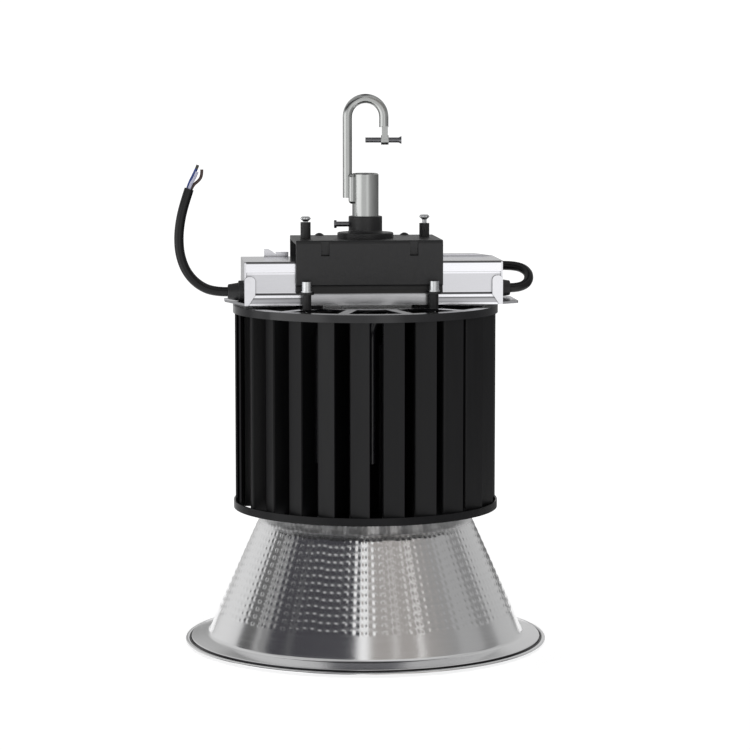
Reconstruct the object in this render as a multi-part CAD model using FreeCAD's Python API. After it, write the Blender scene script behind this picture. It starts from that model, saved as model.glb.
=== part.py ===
import FreeCAD, Part
import math
import os

from FreeCAD import Vector

# High bay light, standing on the rim of its reflector. Millimetres and degrees, +Z up.
# The origin is the centre of the rim's underside, and -Y is the front.

# Reflector: a spun cone with a lip at the neck, a flared flange and a rolled rim
rim_r = 156.0
bead_width = 5.1
bead_height = 5.6
bead_round = 2.0
reflector_sheet = 1.2
neck_r = 86.9
neck_lip = 9.0
flare_r = 136.7
flare_z = 7.6
flare_round = 9.0
neck_round = 1.6
groove_r = 149.8
groove_z = 3.8

# Drum: two ring plates with the fins between them
drum_base_z = 118.6
drum_height = 174.6
plate_r = 113.5
plate_sheet = 1.6
plate_lip = 6.5
lip_sheet = 1.4
spoke_count = 12
spoke_width = 9.0
lower_spoke_phase = 23.0
upper_spoke_phase = 20.0
lower_slot_in = 91.0
lower_slot_out = 104.5
upper_slot_in = 64.0
upper_slot_out = 103.0
land_r = 9.0

# Folded fins, each a web with an outer flange
fin_count = 24
fin_sheet = 1.5
fin_flange = 18.6
fin_offset = 26.4
fin_phase = -21.8
fin_fold = 2.4
fin_clearance = 0.2

# Core: an extruded hub that the webs are pressed into
core_r = 48.0
core_bore_r = 30.0
core_height = 142.0
core_floor = 12.0
core_slot = 2.0
slot_clearance = 0.05
boss_r = 45.7
boss_drop = 2.0
boss_clearance = 0.3

# Heat pipes, in three pairs
pipe_d = 6.0
pipe_seat_clearance = 0.05
pipe_inner_r = 39.0
pipe_outer_r = 88.0
pipe_top_gap = 8.0
pipe_bend = 13.0
pipe_foot = 15.0
pipe_hang = 32.0
pipe_gaps = (-2, 0, 6, 8, 14, 16)

# Light engine and its glass
board_r = 34.0
board_sheet = 3.0
chip_r = 19.0
chip_sheet = 0.9
bezel_clearance = 0.5
bezel_drop = 18.0
bezel_wall = 15.0
bezel_flange = 7.0
bezel_flange_sheet = 2.0
bezel_seat = 4.0
bezel_floor = 2.0
bezel_draft = 1.0
bezel_draft_height = 6.0
glass_sheet = 4.0
gasket_sheet = 1.5
glass_clearance = 0.3
ring_screw_count = 6
ring_screw_d = 3.0
ring_screw_head_d = 5.5
ring_screw_head = 2.0
screw_clearance = 0.2

# Control gear on top, turned a little about the upright axis
gear_turn = 5.25
pad_height = 1.8
pad_length = 60.0
pad_width = 10.0
pad_place = 46.0
driver_length = 219.0
driver_width = 71.0
driver_height = 37.0
driver_shift = 4.3
base_flange = 9.0
base_groove = 1.3
groove_depth = 1.4
panel_depth = 0.8
upper_band = 9.0
edge_round = 1.2
rail_start_x = 60.0
rail_full_x = 98.0
rail_height = 2.0
rail_width = 10.0
clip_x = -85.0
clip_length = 21.0
clip_width = 1.5
clip_tab = 3.5
clip_tab_height = 6.6
clip_step = 10.0
clip_step_height = 4.0
clip_dip = 2.0
end_sheet = 1.5
ear_length = 15.0
ear_cut = 10.5
left_ear_cut = 43.5
ear_sheet = 2.0
ear_slot_width = 4.5
ear_slot_length = 9.0
ear_round = 3.0
left_slot_y = 16.5
right_slot_y = 2.0
wing_width = 9.0
wing_height = 24.5
wing_foot = 3.0
wing_arch = 4.0
wing_sheet = 1.2
gland_height = 10.0
gland_length = 13.0
gland_base_r = 9.5
gland_tip_r = 6.3
gland_collar = 4.0
gland_shoulder = 1.4
gland_collar_round = 0.8
gland_tip_round = 1.2
left_gland_y = -8.0
right_gland_y = 14.0

# Bracket over the driver
box_width = 124.0
box_depth = 86.0
box_top_z = 350.0
box_wall = 3.5
box_round = 3.0
box_edge_round = 0.9
box_fold_z = 312.0
box_low_z = 305.3
lip_inset = 3.2
lip_toe_inset = 1.9
box_lip_sheet = 2.0
pocket_place = 37.5
pocket_width = 7.0
pocket_height = 13.0
pocket_depth = 2.7
pocket_top_depth = 0.4
lug_x = 53.6
lug_y = 50.0
lug_r = 6.0
lug_sheet = 2.0
lug_round = 4.8
post_d = 7.5
post_screw_d = 4.0
post_washer_d = 9.7
post_washer = 1.2
post_head_d = 8.2
post_head = 7.6
post_screw_tail = 5.0
sleeve_x = 52.0
sleeve_y = 12.0
sleeve_d = 8.7
left_sleeve = 14.0
right_sleeve = 11.5
clamp_screw_d = 4.0
clamp_head_z = 364.6
clamp_head = 4.2
clamp_head_d = 8.6
clamp_head_edge = 1.2
dome_x = 37.0
dome_y = 35.0
dome_r = 4.2
dome_height = 2.2

# Stem, collar and hook
stem_r = 11.3
stem_wall = 2.4
stem_top_z = 405.0
stem_chamfer = 1.0
collar_r = 14.4
collar_top_z = 368.5
collar_disc_r = 24.0
collar_disc = 4.6
collar_fit = 0.1
collar_disc_round = 1.0
collar_root_round = 2.0
collar_edge_round = 0.8
set_screw_d = 4.4
set_screw_z = 361.6
set_screw_head_d = 6.8
set_screw_head = 2.0
set_screw_reach = 10.4
rod_d = 8.0
hook_low_z = 384.0
hook_top_z = 472.3
hook_r = 15.5
weld_r = 3.0
weld_low_z = 382.0
weld_length = 19.5
weld_spread = 5.2
tip_thick = 5.2
tip_inset = 0.5
tip_width = 8.0
tip_low_z = 430.0
tip_top_z = 446.0
tip_toe_round = 3.0
tip_top_round = 2.0
eye_r = 4.1
eye_length = 6.4
safety_z = 433.1
safety_d = 4.4
safety_start_x = 0.0
safety_head = 2.6
safety_head_d = 6.8
safety_end_x = 30.8

# Leads
lead_d = 8.1
lead_seat = 1.0
wire_d = 2.6
grommet_r = 6.8
grommet_neck_r = 5.4
grommet_height = 5.0
grommet_draft = 1.0
grommet_x = 67.5
grommet_y = 59.5

# Places that follow from the sizes above
ORIGIN = Vector(0, 0, 0)
UP = Vector(0, 0, 1)
plate_low_z = drum_base_z + plate_sheet
plate_top_z = drum_base_z + drum_height
plate_under_z = plate_top_z - plate_sheet
fin_r = plate_r - lip_sheet - fin_clearance
fin_face = math.sqrt(fin_r ** 2 - (fin_offset + fin_flange) ** 2)
fin_pitch = 360.0 / fin_count
web_start = math.sqrt((core_r - core_slot) ** 2 - fin_offset ** 2)
bezel_r = neck_r - neck_lip - bezel_clearance
bezel_in_r = bezel_r - bezel_wall
bezel_low_z = drum_base_z - bezel_drop
ring_screw_circle = bezel_r + bezel_flange / 2
driver_base_z = plate_top_z + pad_height
driver_top_z = driver_base_z + driver_height
gland_z = driver_base_z + gland_height

parts = {}


def flat(a, b):
    return Vector(a, b, 0)


def upright(a, b):
    return Vector(a, 0, b)


def endwise(a, b):
    return Vector(0, a, b)


# Closed outline with some of its corners rounded, as a face
def outline(points, plane, rounds=None):
    rounds = rounds or {}
    corners = []
    count = len(points)
    for index in range(count):
        here = plane(*points[index])
        radius = rounds.get(index, 0)
        if radius == 0:
            corners.append((here, None, here))
            continue
        before = (plane(*points[index - 1]) - here).normalize()
        after = (plane(*points[(index + 1) % count]) - here).normalize()
        half = before.getAngle(after) / 2
        back = radius / math.tan(half)
        middle = (before + after).normalize() * (radius / math.sin(half) - radius)
        corners.append((here + before * back, here + middle, here + after * back))
    edges = []
    for index in range(count):
        start, middle, end = corners[index]
        following = corners[(index + 1) % count][0]
        if middle is not None:
            edges.append(Part.Arc(start, middle, end).toShape())
        if (following - end).Length > 1e-6:
            edges.append(Part.LineSegment(end, following).toShape())
    return Part.Face(Part.Wire(edges))


# Line moved sideways, to its right, by the thickness of a sheet
def beside(points, distance):
    moved = []
    last = len(points) - 1
    for index, point in enumerate(points):
        normals = []
        for first in (index - 1, index):
            if first < 0 or first == last:
                continue
            along_x = points[first + 1][0] - points[first][0]
            along_y = points[first + 1][1] - points[first][1]
            length = math.hypot(along_x, along_y)
            normals.append((along_y / length, -along_x / length))
        sum_x = sum(normal[0] for normal in normals)
        sum_y = sum(normal[1] for normal in normals)
        size = math.hypot(sum_x, sum_y)
        turn = (normals[0][0] * sum_x + normals[0][1] * sum_y) / size
        reach = distance / turn / size
        moved.append((point[0] + sum_x * reach, point[1] + sum_y * reach))
    return moved


def turned(face):
    return face.revolve(ORIGIN, UP, 360)


def rod(radius, start, end):
    return Part.makeCylinder(radius, (end - start).Length, start, end - start)


def tube(outer, inner, low, high):
    return turned(outline([(inner, low), (outer, low), (outer, high), (inner, high)], upright))


def around(shape, degrees):
    copy = shape.copy()
    copy.rotate(ORIGIN, UP, degrees)
    return copy


def joined(shapes):
    whole = shapes[0]
    for shape in shapes[1:]:
        whole = whole.fuse(shape)
    return whole.removeSplitter()


def on_gear(shape):
    return around(shape, gear_turn)


# Point at an angle from the front, counted towards the right
def at_angle(radius, degrees, z=0.0):
    angle = math.radians(degrees)
    return Vector(radius * math.sin(angle), -radius * math.cos(angle), z)


# Frame of one fin: outwards along its web, then sideways along its flange
def fin_plane(degrees):
    outward = at_angle(1.0, degrees)
    sideways = Vector(-outward.y, outward.x, 0)

    def place(a, b):
        return outward * a + sideways * b

    return place


# Tube along straight runs joined by the largest tangent arcs that fit
def lead(points, diameter, name):
    edges = []
    here = points[0]
    radii = []
    for index in range(1, len(points) - 1):
        corner = points[index]
        back = points[index - 1] - corner
        ahead = points[index + 1] - corner
        shorter = min(back.Length, ahead.Length)
        back.normalize()
        ahead.normalize()
        half_turn = (math.pi - back.getAngle(ahead)) / 2
        cut = 0.45 * shorter
        radius = cut / math.tan(half_turn)
        radii.append(radius)
        centre_way = (back + ahead).normalize()
        middle = corner + centre_way * (radius / math.cos(half_turn) - radius)
        start = corner + back * cut
        end = corner + ahead * cut
        edges.append(Part.LineSegment(here, start).toShape())
        edges.append(Part.Arc(start, middle, end).toShape())
        here = end
    edges.append(Part.LineSegment(here, points[-1]).toShape())
    path = Part.Wire(edges)
    first = points[1] - points[0]
    ring = Part.Wire([Part.makeCircle(diameter / 2, points[0], first)])
    solid = path.makePipeShell([ring], True, False)
    expected = math.pi * diameter ** 2 / 4 * path.Length
    rounded = ", ".join("%.0f" % radius for radius in radii)
    print("%s: length %.1f, volume ratio %.4f, radii %s" % (name, path.Length, solid.Volume / expected, rounded))
    return solid


# Reflector
def make_reflector():
    rim_in = rim_r - bead_width
    skin = [
        (neck_r - neck_lip, drum_base_z),
        (neck_r, drum_base_z),
        (flare_r, flare_z),
        (groove_r, groove_z),
        (rim_in + bead_width / 2, groove_z),
    ]
    inside = beside(skin, reflector_sheet)
    rounds = {1: neck_round + reflector_sheet, 2: flare_round, 3: bead_round}
    last = 2 * len(skin) - 1
    rounds[last - 1] = neck_round
    rounds[last - 2] = flare_round + reflector_sheet
    rounds[last - 3] = bead_round + reflector_sheet
    sheet = turned(outline(skin + inside[::-1], upright, rounds))
    bead_corners = [(rim_in, 0), (rim_r, 0), (rim_r, bead_height), (rim_in, bead_height)]
    bead = turned(outline(bead_corners, upright, {0: bead_round, 1: bead_round, 2: bead_round, 3: bead_round}))
    return joined([sheet, bead]).cut(ring_screw_holes())


def ring_screw_spots():
    step = 360.0 / ring_screw_count
    return [at_angle(ring_screw_circle, step * (index + 0.5)) for index in range(ring_screw_count)]


def ring_screw_holes():
    radius = ring_screw_d / 2 + screw_clearance
    low = Vector(0, 0, drum_base_z - bezel_drop)
    high = Vector(0, 0, drum_base_z + 2 * plate_sheet)
    return Part.makeCompound([rod(radius, spot + low, spot + high) for spot in ring_screw_spots()])


# Bezel that clamps the reflector's lip and carries the glass
def make_lens_ring():
    lip_low_z = drum_base_z - reflector_sheet
    flange_low_z = lip_low_z - bezel_flange_sheet
    section = [
        (bezel_in_r - bezel_seat, bezel_low_z),
        (bezel_r - bezel_draft, bezel_low_z),
        (bezel_r, bezel_low_z + bezel_draft_height),
        (bezel_r, flange_low_z),
        (bezel_r + bezel_flange, flange_low_z),
        (bezel_r + bezel_flange, lip_low_z),
        (bezel_r, lip_low_z),
        (bezel_r, drum_base_z),
        (bezel_in_r, drum_base_z),
        (bezel_in_r, bezel_low_z + bezel_floor),
        (bezel_in_r - bezel_seat, bezel_low_z + bezel_floor),
    ]
    return turned(outline(section, upright)).cut(ring_screw_holes())


def make_ring_screws():
    head_top = drum_base_z - reflector_sheet - bezel_flange_sheet
    screws = []
    for spot in ring_screw_spots():
        head_low = spot + Vector(0, 0, head_top - ring_screw_head)
        head = rod(ring_screw_head_d / 2, head_low, spot + Vector(0, 0, head_top))
        shank = rod(ring_screw_d / 2, spot + Vector(0, 0, head_top), spot + Vector(0, 0, plate_low_z))
        screws.append(joined([head, shank]))
    return Part.makeCompound(screws)


def make_lens_gasket():
    low = bezel_low_z + bezel_floor
    return tube(bezel_in_r - glass_clearance, bezel_in_r - bezel_seat + glass_clearance, low, low + gasket_sheet)


def make_lens():
    low = bezel_low_z + bezel_floor + gasket_sheet
    return Part.makeCylinder(bezel_in_r - glass_clearance, glass_sheet, Vector(0, 0, low))


def make_led_board():
    top = drum_base_z - boss_drop
    board = Part.makeCylinder(board_r, board_sheet, Vector(0, 0, top - board_sheet))
    chip = Part.makeCylinder(chip_r, chip_sheet, Vector(0, 0, top - board_sheet - chip_sheet))
    return joined([board, chip])


# Ring plates of the drum
def slots(inner, outer, phase, lands=()):
    depth = 4 * plate_sheet
    low = -depth / 2
    band = tube(outer, inner, low, low + depth)
    for index in range(spoke_count):
        spoke = Part.makeBox(spoke_width, outer * 1.1, depth, Vector(-spoke_width / 2, -outer * 1.1, low))
        band = band.cut(around(spoke, phase + 360.0 / spoke_count * index))
    for spot in lands:
        band = band.cut(Part.makeCylinder(land_r, depth, Vector(spot.x, spot.y, low)))
    return band


def lipped_plate(face_z, other_z, lip_z):
    low = min(face_z, other_z)
    high = max(face_z, other_z)
    disc = Part.makeCylinder(plate_r, high - low, Vector(0, 0, low))
    wall = tube(plate_r, plate_r - lip_sheet, min(face_z, lip_z), max(face_z, lip_z))
    return joined([disc, wall])


def make_bottom_plate():
    plate = lipped_plate(drum_base_z, plate_low_z, drum_base_z + plate_lip)
    openings = slots(lower_slot_in, lower_slot_out, lower_spoke_phase)
    openings.translate(Vector(0, 0, drum_base_z + plate_sheet / 2))
    centre = Part.makeCylinder(boss_r + boss_clearance, 4 * plate_sheet, Vector(0, 0, drum_base_z - plate_sheet))
    return plate.cut(openings).cut(centre).cut(ring_screw_holes())


def post_spots():
    spots = []
    for side_x in (-1, 1):
        for side_y in (-1, 1):
            spots.append(Vector(side_x * lug_x, side_y * lug_y, 0))
    return spots


def turned_spot(spot):
    return FreeCAD.Rotation(UP, gear_turn).multVec(spot)


def make_top_plate():
    plate = lipped_plate(plate_top_z, plate_under_z, plate_top_z - plate_lip)
    lands = [turned_spot(spot) for spot in post_spots()]
    lands.append(turned_spot(Vector(grommet_x, grommet_y, 0)))
    openings = slots(upper_slot_in, upper_slot_out, upper_spoke_phase, lands)
    openings.translate(Vector(0, 0, plate_top_z - plate_sheet / 2))
    plate = plate.cut(openings)
    low = Vector(0, 0, plate_under_z - plate_sheet)
    high = Vector(0, 0, plate_top_z + plate_sheet)
    for spot in lands[:4]:
        plate = plate.cut(rod(post_screw_d / 2 + screw_clearance, spot + low, spot + high))
    return plate.cut(rod(grommet_neck_r, lands[4] + low, lands[4] + high))


# One folded fin
def make_fin(index):
    place = fin_plane(fin_phase + fin_pitch * index)
    side = fin_offset
    section = [
        (web_start, side),
        (fin_face, side),
        (fin_face, side + fin_flange),
        (fin_face - fin_sheet, side + fin_flange),
        (fin_face - fin_sheet, side + fin_sheet),
        (web_start, side + fin_sheet),
    ]
    face = outline(section, place, {1: fin_fold, 4: fin_fold - fin_sheet})
    face.translate(Vector(0, 0, plate_low_z))
    return face.extrude(Vector(0, 0, plate_under_z - plate_low_z))


# Hub with a slot for each web and a seat for each heat pipe
def make_core():
    body = Part.makeCylinder(core_r, core_height, Vector(0, 0, plate_low_z))
    boss_low = drum_base_z - boss_drop
    boss = Part.makeCylinder(boss_r, plate_low_z - boss_low, Vector(0, 0, boss_low))
    bore = Part.makeCylinder(core_bore_r, core_height, Vector(0, 0, plate_low_z + core_floor))
    body = joined([body, boss]).cut(bore)
    cutters = []
    for index in range(fin_count):
        place = fin_plane(fin_phase + fin_pitch * index)
        low = fin_offset - slot_clearance
        high = fin_offset + fin_sheet + slot_clearance
        section = [(web_start, low), (fin_face, low), (fin_face, high), (web_start, high)]
        face = outline(section, place)
        face.translate(Vector(0, 0, plate_low_z))
        cutters.append(face.extrude(Vector(0, 0, core_height)))
    for gap in pipe_gaps:
        inner, outer, low = pipe_places(gap)
        cutters.append(rod(pipe_d / 2 + pipe_seat_clearance, inner + low, inner + Vector(0, 0, plate_under_z)))
    for cutter in cutters:
        body = body.cut(cutter)
    return body


# Where a heat pipe stands in the middle of a gap between two webs
def pipe_places(gap):
    between = fin_pitch / 2
    place = fin_plane(fin_phase + fin_pitch * gap + between)
    side = (fin_offset + fin_sheet / 2) / math.cos(math.radians(between))
    inner = place(math.sqrt(pipe_inner_r ** 2 - side ** 2), side)
    outer = place(math.sqrt(pipe_outer_r ** 2 - side ** 2), side)
    return inner, outer, Vector(0, 0, plate_low_z + pipe_foot)


def make_heat_pipe(gap):
    inner, outer, low = pipe_places(gap)
    top = Vector(0, 0, plate_under_z - pipe_top_gap)
    across = (outer - inner).normalize()
    lean = pipe_bend * (1 - math.sqrt(0.5))
    first = [inner + low, inner + top - UP * pipe_bend]
    first_middle = inner + top - UP * lean + across * lean
    second = [inner + top + across * pipe_bend, outer + top - across * pipe_bend]
    second_middle = outer + top - UP * lean - across * lean
    third = [outer + top - UP * pipe_bend, outer + low + UP * pipe_hang]
    edges = [
        Part.LineSegment(first[0], first[1]).toShape(),
        Part.Arc(first[1], first_middle, second[0]).toShape(),
        Part.LineSegment(second[0], second[1]).toShape(),
        Part.Arc(second[1], second_middle, third[0]).toShape(),
        Part.LineSegment(third[0], third[1]).toShape(),
    ]
    ring = Part.Wire([Part.makeCircle(pipe_d / 2, first[0], UP)])
    return Part.Wire(edges).makePipeShell([ring], True, False)


# Driver: an extruded case between two end plates with ears
def driver_left():
    return driver_shift - driver_length / 2


def driver_right():
    return driver_shift + driver_length / 2


def make_driver_case():
    half = driver_width / 2
    low = driver_base_z
    groove_low = low + base_flange
    groove_high = groove_low + base_groove
    band_low = driver_top_z - upper_band
    side = [
        (half, low),
        (half, groove_low),
        (half - groove_depth, groove_low),
        (half - groove_depth, groove_high),
        (half - panel_depth, groove_high),
        (half - panel_depth, band_low),
        (half, band_low),
        (half, driver_top_z),
    ]
    mirrored = [(-y, z) for y, z in reversed(side)]
    face = outline(side + mirrored, endwise, {7: edge_round, 8: edge_round})
    face.translate(Vector(driver_left() + end_sheet, 0, 0))
    case = face.extrude(Vector(driver_length - 2 * end_sheet, 0, 0))
    back = half - edge_round
    end_x = driver_right() - end_sheet
    rail_points = [(rail_start_x, 0), (end_x, 0), (rail_full_x, rail_height), (rail_start_x, rail_height)]
    clip_points = [
        (0, 0),
        (clip_length, 0),
        (clip_length, clip_step_height),
        (clip_step, clip_step_height),
        (clip_step, clip_dip),
        (2 * clip_tab, clip_tab_height - clip_dip),
        (clip_tab, clip_tab_height),
        (0, clip_tab_height),
    ]
    rail = outline(rail_points, upright)
    rail.translate(Vector(0, back, driver_top_z))
    clip = outline(clip_points, upright)
    clip.translate(Vector(clip_x, back, driver_top_z))
    pieces = [case, rail.extrude(Vector(0, -rail_width, 0)), clip.extrude(Vector(0, -clip_width, 0))]
    return on_gear(joined(pieces))


def make_driver_end(side):
    half = driver_width / 2
    end_x = driver_left() if side < 0 else driver_right()
    plate_x = end_x if side < 0 else end_x - end_sheet
    corners = [(-half, driver_base_z), (half, driver_base_z), (half, driver_top_z), (-half, driver_top_z)]
    face = outline(corners, endwise, {2: edge_round, 3: edge_round})
    face.translate(Vector(plate_x, 0, 0))
    plate = face.extrude(Vector(end_sheet, 0, 0))
    tip_x = end_x + side * ear_length
    front_cut = left_ear_cut if side < 0 else ear_cut
    ear_corners = [(end_x, -half), (tip_x, front_cut - half), (tip_x, half - ear_cut), (end_x, half)]
    if side < 0:
        ear_corners.reverse()
    ear_face = outline(ear_corners, flat, {1: ear_round, 2: ear_round})
    ear_face.translate(Vector(0, 0, driver_base_z))
    ear = ear_face.extrude(Vector(0, 0, ear_sheet))
    floor_z = driver_base_z - ear_sheet
    inner_x = tip_x - side * (ear_slot_length - ear_slot_width / 2)
    slot_y = left_slot_y if side < 0 else right_slot_y
    straight = Part.makeBox(ear_slot_length, ear_slot_width, 3 * ear_sheet)
    low_x = inner_x if side > 0 else inner_x - ear_slot_length
    straight.translate(Vector(low_x, slot_y - ear_slot_width / 2, floor_z))
    end = Part.makeCylinder(ear_slot_width / 2, 3 * ear_sheet, Vector(inner_x, slot_y, floor_z))
    ear = ear.cut(joined([straight, end]))
    wings = [make_wing(end_x, side, way) for way in (-1, 1)]
    return on_gear(joined([plate, ear] + wings).cut(gland_bore(side)))


# Arched wing of an end plate, folded along the front or the back of the case
def make_wing(end_x, side, way):
    inner_x = end_x - side * wing_width
    low = driver_base_z
    high = driver_base_z + wing_height
    foot_x = end_x - side * wing_foot
    corners = [(end_x, low), (foot_x, low), (inner_x, low + base_flange), (inner_x, high), (end_x, high)]
    face = outline(corners, upright, {3: wing_arch, 4: wing_arch})
    face.translate(Vector(0, way * driver_width / 2, 0))
    return face.extrude(Vector(0, way * wing_sheet, 0))


def gland_y(side):
    return left_gland_y if side < 0 else right_gland_y


def gland_bore(side):
    end_x = driver_left() if side < 0 else driver_right()
    start = Vector(end_x - side * 2 * end_sheet, gland_y(side), gland_z)
    return rod(lead_d / 2 + screw_clearance, start, start + Vector(side * 4 * end_sheet, 0, 0))


def make_gland(side):
    end_x = driver_left() if side < 0 else driver_right()
    section = [
        (0, 0),
        (gland_base_r, 0),
        (gland_base_r, gland_collar),
        (gland_tip_r + gland_shoulder, gland_collar),
        (gland_tip_r, gland_length),
        (0, gland_length),
    ]
    body = turned(outline(section, upright, {2: gland_collar_round, 4: gland_tip_round}))
    body.rotate(ORIGIN, Vector(0, 1, 0), 90 * side)
    body.translate(Vector(end_x, gland_y(side), gland_z))
    flange_floor = driver_base_z + ear_sheet
    reach = 2 * gland_length
    corner = Vector(end_x - reach, gland_y(side) - reach, flange_floor - reach)
    trim = Part.makeBox(2 * reach, 2 * reach, reach, corner)
    return on_gear(body.cut(trim))


def make_driver_pads():
    pads = []
    for side in (-1, 1):
        low = Vector(driver_shift / 2 + side * pad_place - pad_width / 2, -pad_length / 2, plate_top_z)
        pads.append(on_gear(Part.makeBox(pad_width, pad_length, pad_height, low)))
    return Part.makeCompound(pads)


# Bracket: a folded cover over the driver, open at both ends, with a pocket pressed in at each side
def make_gear_box():
    half_w = box_width / 2
    half_d = box_depth / 2
    front = half_d - lip_inset
    toe = half_d - lip_toe_inset
    inner = half_d - box_wall
    lip_in = front - box_lip_sheet
    toe_in = toe - box_lip_sheet
    section = [
        (toe, box_low_z),
        (front, box_fold_z),
        (half_d, box_fold_z),
        (half_d, box_top_z),
        (-half_d, box_top_z),
        (-half_d, box_fold_z),
        (-front, box_fold_z),
        (-toe, box_low_z),
        (-toe_in, box_low_z),
        (-lip_in, box_fold_z + box_wall),
        (-inner, box_fold_z + box_wall),
        (-inner, box_top_z - box_wall),
        (inner, box_top_z - box_wall),
        (inner, box_fold_z + box_wall),
        (lip_in, box_fold_z + box_wall),
        (toe_in, box_low_z),
    ]
    rounds = {2: box_edge_round, 3: box_round, 4: box_round, 5: box_edge_round}
    face = outline(section, endwise, rounds)
    face.translate(Vector(-half_w, 0, 0))
    body = face.extrude(Vector(box_width, 0, 0))
    pieces = [body]
    for spot in post_spots():
        way = 1 if spot.y > 0 else -1
        lug_face = outline(
            [(-lug_r, 0), (lug_r, 0), (lug_r, lug_y + lug_r - toe_in), (-lug_r, lug_y + lug_r - toe_in)],
            flat,
            {2: lug_round, 3: lug_round},
        )
        lug = lug_face.extrude(Vector(0, 0, lug_sheet))
        if way < 0:
            lug.rotate(ORIGIN, UP, 180)
        lug.translate(Vector(spot.x, way * toe_in, box_low_z))
        pieces.append(lug)
    box = joined(pieces)
    pocket_floor = box_top_z - pocket_height
    pocket_points = [
        (-half_d - 1, pocket_floor),
        (pocket_depth - half_d, pocket_floor),
        (pocket_top_depth - half_d, box_top_z + 1),
        (-half_d - 1, box_top_z + 1),
    ]
    for side in (-1, 1):
        pocket = outline(pocket_points, endwise)
        pocket.translate(Vector(side * pocket_place - pocket_width / 2, 0, 0))
        box = box.cut(pocket.extrude(Vector(pocket_width, 0, 0)))
    low = Vector(0, 0, box_low_z - 1)
    high = Vector(0, 0, box_low_z + lug_sheet + 1)
    for spot in post_spots():
        box = box.cut(rod(post_screw_d / 2 + screw_clearance, spot + low, spot + high))
    for spot in sleeve_spots():
        hole = rod(clamp_screw_d / 2 + screw_clearance, spot + UP * (box_top_z - 2 * box_wall), spot + UP * (box_top_z + 1))
        box = box.cut(hole)
    return on_gear(box)


def make_standoffs():
    posts = []
    for spot in post_spots():
        outer = rod(post_d / 2, spot + UP * plate_top_z, spot + UP * box_low_z)
        hole = rod(post_screw_d / 2 + screw_clearance, spot + UP * (plate_top_z - 1), spot + UP * (box_low_z + 1))
        posts.append(on_gear(outer.cut(hole)))
    return Part.makeCompound(posts)


def make_post_screws():
    seat = box_low_z + lug_sheet
    screws = []
    for spot in post_spots():
        washer = rod(post_washer_d / 2, spot + UP * seat, spot + UP * (seat + post_washer))
        head = rod(post_head_d / 2, spot + UP * (seat + post_washer), spot + UP * (seat + post_washer + post_head))
        shank = rod(post_screw_d / 2, spot + UP * (plate_under_z - post_screw_tail), spot + UP * seat)
        screws.append(on_gear(joined([shank, washer, head])))
    return Part.makeCompound(screws)


def sleeve_spots():
    return [Vector(-sleeve_x, -sleeve_y, 0), Vector(sleeve_x, sleeve_y, 0)]


def make_clamp_sleeves():
    sleeves = []
    for spot, height in zip(sleeve_spots(), (left_sleeve, right_sleeve)):
        outer = rod(sleeve_d / 2, spot + UP * box_top_z, spot + UP * (box_top_z + height))
        bore = clamp_screw_d / 2 + screw_clearance
        hole = rod(bore, spot + UP * (box_top_z - 1), spot + UP * (box_top_z + height + 1))
        sleeves.append(on_gear(outer.cut(hole)))
    return Part.makeCompound(sleeves)


def make_clamp_screws():
    screws = []
    for spot in sleeve_spots():
        shank = rod(clamp_screw_d / 2, spot + UP * driver_top_z, spot + UP * clamp_head_z)
        section = [
            (0, 0),
            (clamp_screw_d / 2, 0),
            (clamp_head_d / 2, clamp_head / 2),
            (clamp_head_d / 2, clamp_head - clamp_head_edge),
            (clamp_head_d / 2 - clamp_head_edge, clamp_head),
            (0, clamp_head),
        ]
        head = turned(outline(section, upright))
        head.translate(spot + UP * clamp_head_z)
        screws.append(on_gear(joined([shank, head])))
    return Part.makeCompound(screws)


def make_box_screws():
    screws = []
    ball_r = (dome_r ** 2 + dome_height ** 2) / (2 * dome_height)
    for side in (-1, 1):
        spot = Vector(side * dome_x, dome_y, box_top_z)
        ball = Part.makeSphere(ball_r, spot + UP * (dome_height - ball_r))
        disc = Part.makeCylinder(dome_r, dome_height, spot)
        screws.append(on_gear(disc.common(ball)))
    return Part.makeCompound(screws)


# Collar, set screw, stem and hook
def make_collar():
    bore = stem_r + collar_fit
    section = [
        (bore, box_top_z),
        (collar_disc_r, box_top_z),
        (collar_disc_r, box_top_z + collar_disc),
        (collar_r, box_top_z + collar_disc),
        (collar_r, collar_top_z),
        (bore, collar_top_z),
    ]
    rounds = {2: collar_disc_round, 3: collar_root_round, 4: collar_edge_round}
    collar = turned(outline(section, upright, rounds))
    hole = rod(set_screw_d / 2, Vector(-collar_disc_r, 0, set_screw_z), Vector(0, 0, set_screw_z))
    return on_gear(collar.cut(hole))


def make_set_screw():
    head_in = -collar_r - set_screw_reach
    shank = rod(set_screw_d / 2, Vector(-stem_r, 0, set_screw_z), Vector(head_in, 0, set_screw_z))
    head = rod(
        set_screw_head_d / 2,
        Vector(head_in, 0, set_screw_z),
        Vector(head_in - set_screw_head, 0, set_screw_z),
    )
    return on_gear(joined([shank, head]))


def make_stem():
    inner = stem_r - stem_wall
    section = [
        (inner, box_top_z),
        (stem_r, box_top_z),
        (stem_r, stem_top_z - stem_chamfer),
        (stem_r - stem_chamfer, stem_top_z),
        (inner, stem_top_z),
    ]
    return turned(outline(section, upright))


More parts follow.
